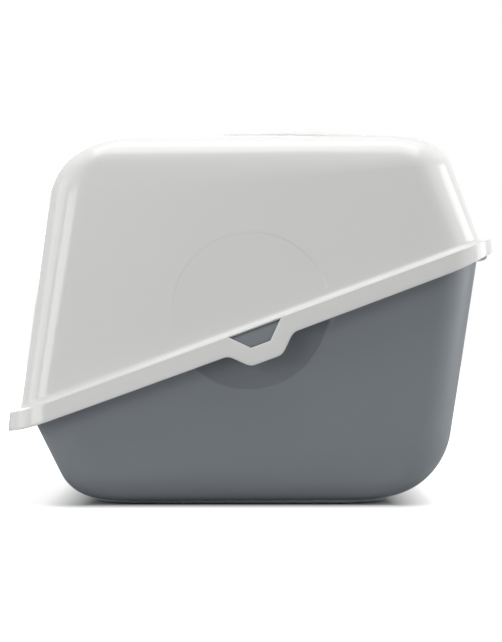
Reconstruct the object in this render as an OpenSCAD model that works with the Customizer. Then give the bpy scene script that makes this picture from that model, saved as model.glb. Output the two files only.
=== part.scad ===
// Top entry litter box: a glossy hood with a round way in through its roof, hinged at the
// back on a deep tray, with the joint between them rising from the low front to the high back.
// Lengths are in millimetres and angles in degrees. The front is at -X and the back at +X.

/* [Rim] */
// Length of the box over the hood's skirt
skirt_length = 524; // [440:1:620]
// Width of the box over the hood's skirt
skirt_width = 400; // [330:1:470]
// Slope of the rim, from the low front up to the high back
rim_slope = 20.25; // [14:0.25:23]
// Height of the rim at the middle of the box
rim_height = 192.6; // [175:0.2:215]
// How far the rim curls up at the very front, above its straight slope
rim_curl = 5; // [0:0.5:8]
// Length of the stretch in which the rim curls up
rim_curl_run = 44; // [30:1:70]
// Corner radius of the hood's wall at the rim, front
rim_corner_front = 33; // [24:1:50]
// Corner radius of the hood's wall at the rim, back
rim_corner_back = 42; // [30:1:60]

/* [Hood] */
// Height of the roof above the floor that the box stands on
roof_height = 400.5; // [370:0.5:440]
// Wall thickness of the hood
hood_wall = 2.2; // [1.6:0.1:3]
// Lean of the hood's front wall
hood_lean_front = 6.9; // [3:0.1:12]
// Lean of the hood's back wall
hood_lean_back = 19; // [12:0.5:26]
// Lean of the hood's side walls
hood_lean_side = 4.5; // [2:0.5:7]
// Radius of the roof's edge at the front
roof_round_front = 77; // [50:1:90]
// Radius of the roof's edge at the back
roof_round_back = 48; // [30:1:60]
// Radius of the roof's edge at the sides
roof_round_side = 38; // [28:1:60]
// Corner radius in plan at the top of the front wall
roof_corner_front = 40; // [34:1:80]
// Corner radius in plan at the top of the back wall
roof_corner_back = 47; // [38:1:100]

/* [Flange and skirt] */
// Width of the hood's flange outside its wall
flange_width = 12; // [10:0.5:16]
// Radius of the cove between the flange and the hood's wall
cove_radius = 10; // [6:0.5:11]
// Radius of the flange's outer edge
flange_edge = 1.2; // [0.8:0.1:2]
// Depth of the skirt, square to the rim
skirt_depth = 20; // [16:0.2:24]
// How far the skirt's foot stands out past its top
skirt_flare = 2.2; // [1.6:0.1:3.5]
// How far the skirt's foot rises at the very back
skirt_back_rise = 5; // [0:0.5:6]

/* [Finger windows] */
// Width of a window at its top
window_top = 60.4; // [50:0.1:70]
// Width of a window at its foot
window_foot = 22; // [14:0.1:30]
// Height of a window on the skirt's face, square to the rim
window_height = 19.3; // [15:0.1:22]
// How far the window's bevelled top starts below the flange's face
window_drop = 0.6; // [0.4:0.1:1]
// Width of the band round a window
loop_band = 18.2; // [12:0.1:22]
// Radius of the band's corners
loop_corner = 12; // [6:0.5:14]
// Place of the windows along the box
loop_x = 3.3; // [-40:0.1:40]
// How far the gap in the tray's lip reaches past each end of a window
finger_room = 5; // [3:0.5:12]

/* [Way in] */
// Diameter of the way in, inside the collar
entry_bore = 200; // [170:1:210]
// Outer diameter of the collar's rolled rim
collar_width = 224; // [216:1:240]
// Height of the collar's rolled rim above the roof
collar_rise = 8; // [5:0.5:12]
// Depth of the collar's sleeve below the roof
sleeve_depth = 14; // [9:0.5:20]
// Thickness of the collar's sleeve
sleeve_wall = 2; // [1.6:0.1:2.6]
// Place of the way in along the box
entry_x = 38; // [20:1:50]

/* [Tray] */
// Wall thickness of the tray
tray_wall = 2.4; // [1.8:0.1:3]
// Lean of the tray's front wall
tray_lean_front = 25.4; // [20:0.1:30]
// Lean of the tray's back wall
tray_lean_back = 8.25; // [5:0.25:12]
// Lean of the tray's side walls
tray_lean_side = 5; // [3:0.5:7]
// Radius of the tray's bottom edge at the front
tray_round_front = 52.5; // [35:0.5:60]
// Radius of the tray's bottom edge at the back
tray_round_back = 85; // [50:1:100]
// Radius of the tray's bottom edge at the sides
tray_round_side = 28; // [20:1:40]
// Corner radius in plan of the tray's wall at the rim, front
tray_corner_front = 34; // [26:1:46]
// Corner radius in plan of the tray's wall at the rim, back
tray_corner_back = 44; // [30:1:60]
// Corner radius in plan of the tray's bottom
tray_bottom_corner = 40; // [32:1:60]
// How far the tray's front wall lies inside the hood's front wall
tray_inset_front = 9; // [5:0.5:11]
// How far the tray's side walls lie inside the hood's, and its back wall inside its own flange
tray_inset = 5; // [4:0.5:7]
// Depth of the tray's turned-down lip
lip_depth = 14.4; // [12:0.2:17]
// How far the lip's foot stands out past its top at the front and sides
lip_flare = 1.2; // [0.6:0.1:1.8]

/* [Round recess] */
// Diameter of the shallow recess that runs over both side walls
disc_width = 172; // [140:1:180]
// Depth of the recess
disc_depth = 0.8; // [0.4:0.1:1]
// Height of the recess's middle above the rim
disc_rise = 18; // [5:1:30]

/* [Hinge] */
// Radius of the tray's hinge bars
bar_radius = 2.5; // [2:0.1:3]
// Thickness of the hood's hooks
hook_wall = 2.4; // [2:0.1:3]
// Width of each hook
hook_width = 40; // [25:1:55]
// Distance of each hook's middle from the box's middle
hook_y = 95; // [70:1:115]
// Distance of the hinge axis below the hood's flange, square to the rim
axis_depth = 12.5; // [12:0.1:13.5]

/* [Foot ring and pads] */
// Height of the tray's bottom above the floor that the box stands on
stand_height = 4.2; // [3.6:0.1:7]
// How far the foot ring reaches past the flat of the tray's bottom at the front
ring_reach_front = 13.5; // [0:0.5:14]
// How far it reaches past the flat at the back
ring_reach_back = 15.5; // [0:0.5:17]
// How far the foot ring lies inside the flat at the sides
ring_inset = 3; // [0:0.5:20]
// Corner radius of the foot ring
ring_corner = 50; // [36:1:70]
// Thickness of the foot ring
ring_wall = 3; // [2:0.2:4]
// Diameter of the pads
pad_width = 22; // [16:1:26]
// Thickness of the pads
pad_height = 3; // [2:0.1:3.2]
// How far the pads stand out below the foot ring
pad_stand = 1.6; // [1:0.1:1.8]
// Distance of each pad's middle from the foot ring's edges
pad_inset = 34; // [28:1:60]

/* [Clearances] */
// Gap between the hood's flange and the tray's
rim_gap = 0.3; // [0.2:0.05:0.6]
// Gap between the tray's lip and the hood's skirt
lip_gap = 0.6; // [0.4:0.1:1.2]
// Gap round the hinge bars
bar_gap = 0.3; // [0.2:0.05:0.5]
// Gap at each end of a hook
hook_gap = 2; // [1:0.5:4]
// Gap round the collar's sleeve and the pads
fit_gap = 0.3; // [0.2:0.05:0.5]

/* [Hidden] */
// Steps in each plan corner, in the roof's and bottom's edges, and in a cove
corner_steps = 10;
round_steps = 8;
cove_steps = 4;
// Sides of the loop band's round corners
bend_steps = 6;
// Sides of the large and small round cutters and rings
large_sides = 128;
small_sides = 64;
// For cuts that run past a face
past = 1;
// For plates that stand proud of the face that they join
proud = 0.2;
// Part of a round edge's radius that is left at its middle
edge_middle = 1 - cos(45);
// Part of the tray's floor that the foot ring and its bosses reach into
root_share = 0.8;

rise = tan(rim_slope);
upright = cos(rim_slope);

// The hood's wall meets the rim here
hood_front = -skirt_length / 2 + skirt_flare + flange_width;
hood_back = skirt_length / 2 - skirt_flare - flange_width;
hood_side = skirt_width / 2 - skirt_flare - flange_width;
curl_start = -skirt_length / 2 + rim_curl_run;

// Upright thicknesses, measured along Z on the sloping rim
hood_drop = hood_wall / upright;
tray_drop = (hood_wall + rim_gap) / upright;
skirt_drop = skirt_depth / upright;

// The hinge axis lies under the flange, and the tray's lip reaches back to it
lip_back = hood_back + flange_width - hood_wall - lip_gap - bar_radius;
axis_x = lip_back;
axis_z = straight_rim(axis_x) - (hood_wall + axis_depth) / upright;
hook_bore = bar_radius + bar_gap;
hook_radius = hook_bore + hook_wall;
// The tray's flange stays inside the circle that the hood's underside sweeps
swept = axis_depth - rim_gap;
flange_back = axis_x - swept * sin(rim_slope)
    + (sqrt(pow(axis_depth, 2) - pow(swept, 2)) - rim_gap) * upright;

// The tray's wall meets its flange here
tray_front = hood_front + tray_inset_front;
tray_side = hood_side - tray_inset;
tray_back = flange_back - tray_inset;
lip_front = hood_front - flange_width + hood_wall + lip_gap;
lip_side = hood_side + flange_width - hood_wall - lip_gap;

// The collar and the hole that it clips into
sleeve_radius = entry_bore / 2 + sleeve_wall;
hole_radius = sleeve_radius + fit_gap;
under_roof = roof_height - hood_wall;

// The foot ring follows the flat of the tray's bottom, and the pads sit in its bosses
tray_under = tray_drop + tray_wall / upright;
flat_front = tray_front + full_inset(rim(tray_front), tray_lean_front, tray_round_front);
flat_back = tray_back - full_inset(rim(tray_back), tray_lean_back, tray_round_back);
flat_side = tray_side - full_inset(rim(flat_front), tray_lean_side, tray_round_side);
ring_front = flat_front - ring_reach_front;
ring_back = flat_back + ring_reach_back;
ring_side = flat_side - ring_inset;
ring_bottom = pad_stand;
ring_height = stand_height + root_share * tray_wall - ring_bottom;
pad_front = ring_front + pad_inset;
pad_back = ring_back - pad_inset;
pad_side = ring_side - pad_inset;
socket_radius = pad_width / 2 + fit_gap;

// Height of the rim without its curl, the curl, and both together
function straight_rim(x) = rim_height + rise * x;
function curl(x) = rim_curl * pow(max(0, curl_start - x) / rim_curl_run, 2);
function rim(x) = straight_rim(x) + curl(x);

// Share of the way from a to b, and the value there
function share(x, a, b) = (x - a) / (b - a);
function blend(a, b, t) = a + (b - a) * t;

// Plan outline with four round corners: ends, half widths at the ends, and corner radii
function outline(front, back, front_w, back_w, front_r, back_r) =
    let (
        splay = atan((back_w - front_w) / (back - front)),
        front_c = [front + front_r, front_w + front_r * tan(splay) - front_r / cos(splay)],
        back_c = [back - back_r, back_w - back_r * tan(splay) - back_r / cos(splay)],
        half = concat(arc(back_c, back_r, 0, 90 + splay), arc(front_c, front_r, 90 + splay, 180))
    )
    concat(half, [for (i = [len(half) - 1:-1:0]) [half[i].x, -half[i].y]]);

function arc(centre, r, from, to) =
    [for (i = [0:corner_steps]) centre + r * angle_point(blend(from, to, i / corner_steps))];

function angle_point(a) = [cos(a), sin(a)];

// The outline lifted to the rim, plus an upright distance at its front and one at its back
function rim_ring(front, back, side, front_r, back_r, front_h, back_h) =
    [for (p = outline(front, back, side, side, front_r, back_r))
        [p.x, p.y, rim(p.x) + blend(front_h, back_h, share(p.x, front, back))]];

// How far a leaning wall has moved in at a height h, where it bends with radius r to a level top
function inset(h, top, lean, r) =
    let (bend = top - r + r * sin(lean))
    h <= bend ? h * tan(lean)
              : bend * tan(lean) + r * (cos(lean) - sqrt(max(0, 1 - pow((h - top + r) / r, 2))));

// How far the tray's wall has moved in where it has bent to the level bottom
function full_inset(rim_z, lean, r) =
    let (h = rim_z - tray_under - stand_height)
    inset(h, h, lean, r);

// Height of step k of the bend
function bend_height(top, lean, r, k) = top - r + r * sin(blend(lean, 90, k / round_steps));

// Rings of a shell's bend, from its walls over to a level plane above or below the rim.
// ends are the front, back and half width at the rim, and drop is how far below the rim they lie.
// rounds are the bend's radii at the front and back, and at the front and back of the sides.
function bend_rings(ends, drop, level, leans, rounds, end_corners) =
    let (
        way = level > rim_height ? 1 : -1,
        front_z = rim(ends[0]) - drop,
        back_z = rim(ends[1]) - drop,
        front_top = way * (level - front_z),
        back_top = way * (level - back_z)
    )
    [for (k = [0:round_steps])
        let (
            front_h = bend_height(front_top, leans[0], rounds[0], k),
            back_h = bend_height(back_top, leans[1], rounds[1], k),
            front = ends[0] + inset(front_h, front_top, leans[0], rounds[0]),
            back = ends[1] - inset(back_h, back_top, leans[1], rounds[1]),
            z0 = front_z + way * front_h - curl(front),
            z1 = back_z + way * back_h
        )
        [for (p = outline(front, back,
                side_width(front, z0, ends[2], drop, level, way, leans[2], rounds[2]),
                side_width(back, z1, ends[2], drop, level, way, leans[2], rounds[3]),
                end_corners[0], end_corners[1]))
            [p.x, p.y, blend(z0, z1, share(p.x, front, back)) + (way > 0 ? curl(p.x) : 0)]]];

// Half width of a shell at a place along it and a height
function side_width(x, z, side, drop, level, way, lean, r) =
    let (foot = straight_rim(x) - drop)
    side - inset(way * (z - foot), way * (level - foot), lean, r);

// Distance out and height of a cove between a level flange and a leaning wall
function cove(lean, r, t) =
    let (turn = (90 - lean) * t, centre = r * (1 - sin(lean)) / cos(lean))
    [centre - r * sin(turn), r - r * cos(turn)];

function cove_rings(ends, drop, leans, r, corners) =
    [for (k = [0:cove_steps])
        let (
            t = k / cove_steps,
            front = cove(leans[0], r, t),
            back = cove(leans[1], r, t),
            side = cove(leans[2], r, t)
        )
        rim_ring(ends[0] - front[0], ends[1] + back[0], ends[2] + side[0],
            corners[0] + front[0], corners[1] + back[0], front[1] - drop, back[1] - drop)];

// A closed solid through rings of equal count, flat at both ends. The outside runs downward.
module skin(rings) {
    count = len(rings[0]);
    last = len(rings) - 1;
    sides = [for (i = [0:last - 1], j = [0:count - 1])
        let (
            a = i * count + j,
            b = i * count + (j + 1) % count,
            c = a + count,
            d = b + count
        )
        each [[a, b, d], [a, d, c]]];
    first_cap = [for (j = [count - 1:-1:0]) j];
    last_cap = [for (j = [0:count - 1]) last * count + j];
    polyhedron(points = [for (r = rings) each r], faces = concat(sides, [first_cap, last_cap]));
}

function back_to_front(list) = [for (i = [len(list) - 1:-1:0]) list[i]];

// The hood's rings: down its outside from the roof to the skirt's foot, and up its inside
function skirt_ring(out, in) =
    let (
        reach = flange_width + out - in,
        ring = outline(hood_front - reach, hood_back + reach, hood_side + reach, hood_side + reach,
            rim_corner_front + reach, rim_corner_back + reach)
    )
    [for (p = ring)
        [p.x, p.y, rim(p.x) - skirt_drop
            + skirt_back_rise * pow(max(0, share(p.x, hood_back - rim_corner_back, hood_back)), 2)]];

function flange_ring(in, down) =
    let (reach = flange_width - in)
    rim_ring(hood_front - reach, hood_back + reach, hood_side + reach,
        rim_corner_front + reach, rim_corner_back + reach, -down, -down);

function hood_rings() =
    let (
        leans = [hood_lean_front, hood_lean_back, hood_lean_side],
        w = hood_wall,
        e = flange_edge * edge_middle,
        rounds = [roof_round_front, roof_round_back, roof_round_side, roof_round_side],
        outer = concat(
            [skirt_ring(skirt_flare, 0), flange_ring(0, flange_edge), flange_ring(e, e),
                flange_ring(flange_edge, 0)],
            cove_rings([hood_front, hood_back, hood_side], 0, leans, cove_radius,
                [rim_corner_front, rim_corner_back]),
            bend_rings([hood_front, hood_back, hood_side], 0, roof_height, leans, rounds,
                [roof_corner_front, roof_corner_back])),
        inner = concat(
            [skirt_ring(skirt_flare, w), flange_ring(w, hood_drop)],
            cove_rings([hood_front + w, hood_back - w, hood_side - w], hood_drop, leans,
                cove_radius + w, [rim_corner_front - w, rim_corner_back - w]),
            bend_rings([hood_front + w, hood_back - w, hood_side - w], hood_drop, under_roof, leans,
                [for (r = rounds) r - w], [roof_corner_front - w, roof_corner_back - w]))
    )
    concat(back_to_front(outer), inner);

// The tray's rings: up its inside from the floor, round the lip, and down its outside
function lip_ring(out, in, down) =
    rim_ring(lip_front - out + in, blend(flange_back, lip_back, out / lip_flare) - in,
        lip_side + out - in - lip_flare,
        tray_corner_front + flange_width - hood_wall - in, tray_corner_back + tray_inset - in,
        -tray_drop - down, -tray_drop - down);

function tray_rings() =
    let (
        leans = [tray_lean_front, tray_lean_back, tray_lean_side],
        w = tray_wall,
        wall_ends = [tray_front, tray_back, tray_side],
        inner_ends = [tray_front + w / cos(tray_lean_front), tray_back - w, tray_side - w],
        rounds = [tray_round_front, tray_round_back, tray_round_side, tray_round_side],
        e = flange_edge * edge_middle,
        outer = bend_rings(wall_ends, tray_under, stand_height, leans, rounds,
            [tray_bottom_corner, tray_bottom_corner]),
        inner = bend_rings(inner_ends, tray_drop, stand_height + w, leans, [for (r = rounds) r - w],
            [tray_bottom_corner - w, tray_bottom_corner - w])
    )
    concat(
        back_to_front(inner),
        [rim_ring(inner_ends[0], inner_ends[1], inner_ends[2], tray_corner_front - w,
            tray_corner_back - w, -tray_drop, -tray_drop)],
        [lip_ring(0, flange_edge, 0), lip_ring(0, e, e), lip_ring(0, 0, flange_edge),
            lip_ring(lip_flare, 0, lip_depth),
            lip_ring(lip_flare, w, lip_depth), lip_ring(0, w, w / upright)],
        [rim_ring(tray_front, tray_back, tray_side, tray_corner_front, tray_corner_back,
            -tray_under, -tray_under)],
        outer);

// Puts its children on the rim line at x, with X along the rim and Z square to it
module on_rim(x, y) {
    translate([x, y, straight_rim(x)])
        rotate([0, -rim_slope, 0])
            children();
}

// The same on both sides of the box
module both_sides() {
    children();
    mirror([0, 1, 0])
        children();
}

// A bend of radius r at corner b of an outline that comes from a and goes on to c
function bend(a, b, c, r) =
    let (
        u = (a - b) / norm(a - b),
        v = (c - b) / norm(c - b),
        half = acos(u * v) / 2,
        middle = b + (u + v) / norm(u + v) * r / sin(half),
        from = b + u * r / tan(half) - middle,
        to = b + v * r / tan(half) - middle
    )
    [for (i = [0:bend_steps])
        let (t = i / bend_steps, dir = from * sin((1 - t) * (90 - half) * 2) + to * sin(t * (90 - half) * 2))
        middle + dir / sin((90 - half) * 2)];

// One half of the band's outline, from the skirt's foot to the band's foot
function loop_half() =
    let (
        slant = (window_top - window_foot) / 2 / window_height,
        foot = window_drop + window_height + loop_band,
        foot_half = window_foot / 2 + loop_band * (norm([slant, 1]) - slant),
        side_half = foot_half + slant * (foot - skirt_depth),
        end = [side_half + 2 * loop_corner, -skirt_depth],
        outer = [side_half, -skirt_depth],
        low = [foot_half, -foot]
    )
    concat([end + [0, skirt_depth / 2], end], bend(end, outer, low, loop_corner),
        bend(outer, low, [0, -foot], loop_corner));

module loop_band_plate() {
    half = loop_half();
    whole = concat(half, [for (i = [len(half) - 1:-1:0]) [-half[i].x, half[i].y]]);
    polygon(whole);
}

// The window below a line that lies some way below the flange's face
module window_below(top) {
    foot = window_drop + window_height;
    half = blend(window_top, window_foot, share(top, window_drop, foot)) / 2;
    polygon([[-half, -top], [half, -top], [window_foot / 2, -foot], [-window_foot / 2, -foot]]);
}

// The window's hole, with a bevelled top from near the flange's face to its underside
module window_hole() {
    hull() {
        in_skirt(past, past)
            window_below(window_drop);
        in_skirt(-hood_wall, past)
            window_below(hood_wall);
    }
}

// Puts a flat shape upright in the skirt's leaning face, thick to its inside
module in_skirt(outside, thick) {
    on_rim(loop_x, -hood_side - flange_width)
        rotate([-atan(skirt_flare / skirt_depth), 0, 0])
            translate([0, thick - outside, 0])
                rotate([90, 0, 0])
                    linear_extrude(thick)
                        children();
}

// A shallow round cutter on a side wall that leans, above or below the rim
module disc_cutter(side, lean, middle, from, to) {
    translate([0, -side, straight_rim(0) - middle])
        rotate([0, -rim_slope, 0])
            rotate([lean, 0, 0])
                intersection() {
                    translate([disc_rise * sin(rim_slope), disc_depth, (disc_rise + middle) * upright])
                        rotate([90, 0, 0])
                            cylinder(r = disc_width / 2, h = disc_depth + past, $fn = large_sides);
                    translate([-disc_width, -disc_width, from])
                        cube([2 * disc_width, 2 * disc_width, to - from]);
                }
}

// A hook of the hood: a C open to the front and above, hung from the skirt
module hook() {
    translate([axis_x, 0, axis_z])
        rotate([90, 0, 0])
            linear_extrude(hook_width, center = true) {
                difference() {
                    circle(r = hook_radius, $fn = small_sides);
                    circle(r = hook_bore, $fn = small_sides);
                    translate([-2 * hook_radius, 0])
                        square([4 * hook_radius, 2 * hook_radius]);
                    rotate(-135)
                        translate([0, -2 * hook_radius])
                            square(2 * hook_radius);
                }
                translate([hook_bore, 0])
                    square([hook_wall, skirt_depth / 2]);
            }
}

module hood() {
    color([0.93, 0.93, 0.92]) {
        difference() {
            union() {
                skin(hood_rings());
                both_sides()
                    in_skirt(proud, hood_wall + 2 * proud)
                        loop_band_plate();
            }
            both_sides()
                window_hole();
            both_sides()
                disc_cutter(hood_side, -hood_lean_side, 0, cove_radius, disc_width);
            translate([entry_x, 0, under_roof - past])
                cylinder(r = hole_radius, h = hood_wall + 2 * past, $fn = large_sides);
        }
        both_sides()
            translate([0, -hook_y, 0])
                hook();
    }
}

// Puts its children on the hinge axis, with X along the rim and Z square to it
module on_axis() {
    translate([axis_x, 0, axis_z])
        rotate([0, -rim_slope, 0])
            children();
}

// The slots in the tray's lip, in which the hooks turn about the bars
module hook_slot() {
    reach = hook_radius + past;
    on_axis()
        translate([-reach, -hook_width / 2 - hook_gap, -reach])
            cube([2 * reach, hook_width + 2 * hook_gap,
                reach + axis_depth - rim_gap - tray_wall - past / 2]);
}

module hinge_bar() {
    on_axis()
        rotate([90, 0, 0])
            cylinder(r = bar_radius, h = hook_width + 2 * hook_gap + 4 * bar_radius,
                center = true, $fn = small_sides);
}

// The gaps in the tray's lip, which leave the finger windows open
module finger_gap() {
    under = hood_wall + rim_gap + tray_wall;
    half = window_top / 2 + finger_room;
    on_rim(loop_x, -lip_side - past)
        translate([-half, 0, -under - lip_depth])
            cube([2 * half, lip_flare + tray_wall + 2 * past, lip_depth]);
}

// The ring that the tray stands on, open below, with a boss for each pad
module foot_ring() {
    translate([0, 0, ring_bottom]) {
        difference() {
            foot_ring_body(0, 0);
            foot_ring_body(ring_wall, past);
        }
        for (x = [pad_front, pad_back], y = [-pad_side, pad_side])
            translate([x, y, 0])
                difference() {
                    cylinder(r = socket_radius + ring_wall, h = ring_height, $fn = small_sides);
                    translate([0, 0, -past])
                        cylinder(r = socket_radius, h = pad_height - pad_stand + past, $fn = small_sides);
                }
    }
}

module foot_ring_body(in, over) {
    translate([0, 0, -over])
        linear_extrude(ring_height + 2 * over)
            polygon(outline(ring_front + in, ring_back - in, ring_side - in, ring_side - in,
                ring_corner - in, ring_corner - in));
}

module base_tray() {
    color([0.45, 0.47, 0.49]) {
        difference() {
            skin(tray_rings());
            both_sides()
                disc_cutter(tray_side, tray_lean_side, tray_drop + tray_wall, -disc_width, -lip_depth / 2);
            both_sides()
                translate([0, -hook_y, 0])
                    hook_slot();
            both_sides()
                finger_gap();
        }
        both_sides()
            translate([0, -hook_y, 0])
                hinge_bar();
        foot_ring();
    }
}

// A ring that clips into the roof and rolls over its cut edge
module entry_collar() {
    color([0.90, 0.90, 0.89])
        translate([entry_x, 0, 0])
            rotate_extrude($fn = large_sides)
                collar_profile();
}

module collar_profile() {
    roll = (collar_width - entry_bore) / 4;
    clip = hood_wall / 2;
    translate([entry_bore / 2, roof_height - sleeve_depth])
        square([sleeve_wall, sleeve_depth + collar_rise - roll]);
    translate([entry_bore / 2 + roll, roof_height + collar_rise - roll])
        intersection() {
            circle(r = roll, $fn = small_sides);
            translate([-roll, 0])
                square([2 * roll, roll]);
        }
    translate([entry_bore / 2, roof_height])
        square([2 * roll, collar_rise - roll]);
    // The bead that snaps under the roof
    translate([sleeve_radius, under_roof - fit_gap - clip])
        intersection() {
            circle(r = clip, $fn = small_sides);
            translate([-clip / 2, -clip])
                square([2 * clip, 2 * clip]);
        }
}

module foot_pad(x, y) {
    color([0.16, 0.17, 0.18])
        translate([x, y, 0])
            cylinder(r = pad_width / 2, h = pad_height, $fn = small_sides);
}

module foot_front_left() {
    foot_pad(pad_front, -pad_side);
}

module foot_front_right() {
    foot_pad(pad_front, pad_side);
}

module foot_rear_left() {
    foot_pad(pad_back, -pad_side);
}

module foot_rear_right() {
    foot_pad(pad_back, pad_side);
}

base_tray();
hood();
entry_collar();
foot_front_left();
foot_front_right();
foot_rear_left();
foot_rear_right();
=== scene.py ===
import math

import bpy
import bmesh
import numpy as np
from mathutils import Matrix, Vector


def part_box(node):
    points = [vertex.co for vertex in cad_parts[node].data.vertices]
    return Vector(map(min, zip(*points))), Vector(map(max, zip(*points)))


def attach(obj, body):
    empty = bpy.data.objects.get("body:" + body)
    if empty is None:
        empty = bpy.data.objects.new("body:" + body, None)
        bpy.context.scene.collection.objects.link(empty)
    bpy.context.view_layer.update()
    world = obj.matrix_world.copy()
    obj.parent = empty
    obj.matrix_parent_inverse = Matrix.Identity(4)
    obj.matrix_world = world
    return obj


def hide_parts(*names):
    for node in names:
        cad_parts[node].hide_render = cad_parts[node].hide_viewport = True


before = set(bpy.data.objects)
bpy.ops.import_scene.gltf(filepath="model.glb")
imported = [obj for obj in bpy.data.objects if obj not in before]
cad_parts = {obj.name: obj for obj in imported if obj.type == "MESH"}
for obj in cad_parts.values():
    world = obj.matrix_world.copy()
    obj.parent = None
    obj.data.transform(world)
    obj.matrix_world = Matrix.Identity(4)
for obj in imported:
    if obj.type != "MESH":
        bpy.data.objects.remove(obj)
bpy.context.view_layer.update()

mm = 0.001  # lengths are in mm until makeMesh
sides = (1, -1)
print("frame loaded")


# The sloping rim that both shells fan out from

hoodLow, hoodHigh = (np.array(corner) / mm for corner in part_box("hood"))

rim = {
    "slope": math.radians(20.25),
    "height": 192.6,  # at the middle of the box
    "curl": 5.0,  # how far the rim rises above its straight line at the front
    "curlRun": 44.0,
    "flange": 12.0,
    "flare": 2.2,  # how far the skirt leans out down to its foot
    "skirt": 20.1,
    "skirtEnds": 1.0,  # how much shallower the skirt is at both ends
    "bow": 0.6,  # how far the rim sags between its ends
    "frontCorner": 33.0,
    "backCorner": 42.0,
    "gap": 0.3,  # between the two flanges
    "halfWidth": 200.0,  # at the skirt's foot
    "sideInside": 14.2,  # from the skirt's foot to the hood's wall
    "edge": 1.2,
}
rise = math.tan(rim["slope"])
upright = math.cos(rim["slope"])
rim["front"] = hoodLow[0] + rim["sideInside"]
rim["back"] = hoodHigh[0] - rim["sideInside"]
rim["side"] = rim["halfWidth"] - rim["sideInside"]


def straightRim(x):
    # A straight line that climbs from the front to the back
    return rim["height"] + rise * x


def curl(x):
    # A parabola over the last stretch before the front
    start = hoodLow[0] + rim["curlRun"]
    return rim["curl"] * (np.maximum(0, start - x) / rim["curlRun"]) ** 2


def endShare(x):
    # A parabola that is 0 at the middle of the box and 1 at both ends
    return np.minimum(1, (x / rim["back"]) ** 2)


def rimHeight(x):
    return straightRim(x) + curl(x) - rim["bow"] * (1 - endShare(x))


def blend(a, b, t):
    return a + (b - a) * t


def smoothStep(x, low, high):
    # Rises from 0 to 1 as 3t^2 - 2t^3
    t = np.clip((x - low) / (high - low), 0, 1)
    return t * t * (3 - 2 * t)


# Plan outlines with round corners, whose points keep the same columns in every ring

columns = {"corner": 16, "back": 14, "front": 12, "loopReach": 48.0, "loopStep": 2.1, "sideStep": 11.0}

# The finger window in the skirt and the band that hangs round it: "top", "foot" and "bandHalf"
# run along the rim, "drop", "height" and "bandFoot" are depths below it
loop = {
    "x": 3.3, "top": 60.4, "foot": 22.0, "height": 19.3, "drop": 0.6,
    "bandFoot": 38.4, "bandHalf": 17.9, "slant": 1.02, "corner": 4.6,
    "edge": 0.9,
    "edgeFade": 2.5,  # the window's bevel dies away over this length to both ends
    "squareTo": 50.0,  # the skirt hangs square to the rim up to here, and upright from the next
    "uprightFrom": 90.0,
    "sideWay": 0.999,  # a point whose way outward is nearer sideways than this is on a side
    "farAway": 1000.0,  # stands for the place along the rim of every point that is on no side
    "slack": 0.001,
}

hoodWall = 2.2


def sideFractions():
    # Columns close together round the finger loop, with one on each corner of its window
    low = rim["front"] + rim["frontCorner"]
    high = rim["back"] - rim["backCorner"]
    marks = [-columns["loopReach"], -loop["top"] / 2, -loop["foot"] / 2, loop["foot"] / 2,
             loop["top"] / 2, columns["loopReach"]]
    near = [np.linspace(a, b, int(round((b - a) / columns["loopStep"])) + 1)
            for a, b in zip(marks, marks[1:])]
    x = loop["x"] + np.concatenate(near) * upright
    before = np.linspace(low, x[0], int((x[0] - low) / columns["sideStep"]))
    after = np.linspace(x[-1], high, int((high - x[-1]) / columns["sideStep"]))
    x = np.unique(np.round(np.concatenate([before, x, after]), 6))
    return (x[::-1] - low) / (high - low)


sideShares = sideFractions()


def outline(front, back, frontW, backW, frontR, backR):
    # Half of the outline runs from the middle of the back round to the middle of the front:
    # a straight, an arc, the side, an arc, a straight. The other half is its mirror image.
    front, back, frontW, backW, frontR, backR = (
        np.atleast_1d(np.asarray(v, float))[:, None] for v in (front, back, frontW, backW, frontR, backR))
    splay = np.arctan((backW - frontW) / (back - front))
    frontX, frontY = front + frontR, frontW + frontR * np.tan(splay) - frontR / np.cos(splay)
    backX, backY = back - backR, backW - backR * np.tan(splay) - backR / np.cos(splay)
    t = np.linspace(0, 1, columns["corner"] + 1)[None, :]
    turn = math.pi / 2 + splay
    backA, frontA = turn * t, blend(turn, math.pi, t)
    backArc = backX + backR * np.cos(backA), backY + backR * np.sin(backA)
    frontArc = frontX + frontR * np.cos(frontA), frontY + frontR * np.sin(frontA)
    s = sideShares[None, 1:-1]
    side = [blend(a[:, :1], b[:, -1:], s) for a, b in zip(frontArc, backArc)]
    b = np.linspace(0, 1, columns["back"])[None, :-1]
    f = np.linspace(1, 0, columns["front"])[None, 1:]
    x = np.concatenate([back + 0 * b, backArc[0], side[0], frontArc[0], front + 0 * f], 1)
    y = np.concatenate([backY * b, backArc[1], side[1], frontArc[1], frontY * f], 1)
    x = np.concatenate([x, x[:, -2:0:-1]], 1)
    y = np.concatenate([y, -y[:, -2:0:-1]], 1)
    return x, y


def ring(x, y, z):
    return np.stack([x, y, z], -1)


def inset(h, top, lean, r):
    # A leaning wall moves in by h tan(lean), then bends over with radius r to a level top
    bend = top - r + r * np.sin(lean)
    sine = np.clip((h - top + r) / r, -1, 1)
    bent = bend * np.tan(lean) + r * (np.cos(lean) - np.sqrt(1 - sine ** 2))
    return np.where(h <= bend, h * np.tan(lean), bent)


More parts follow.
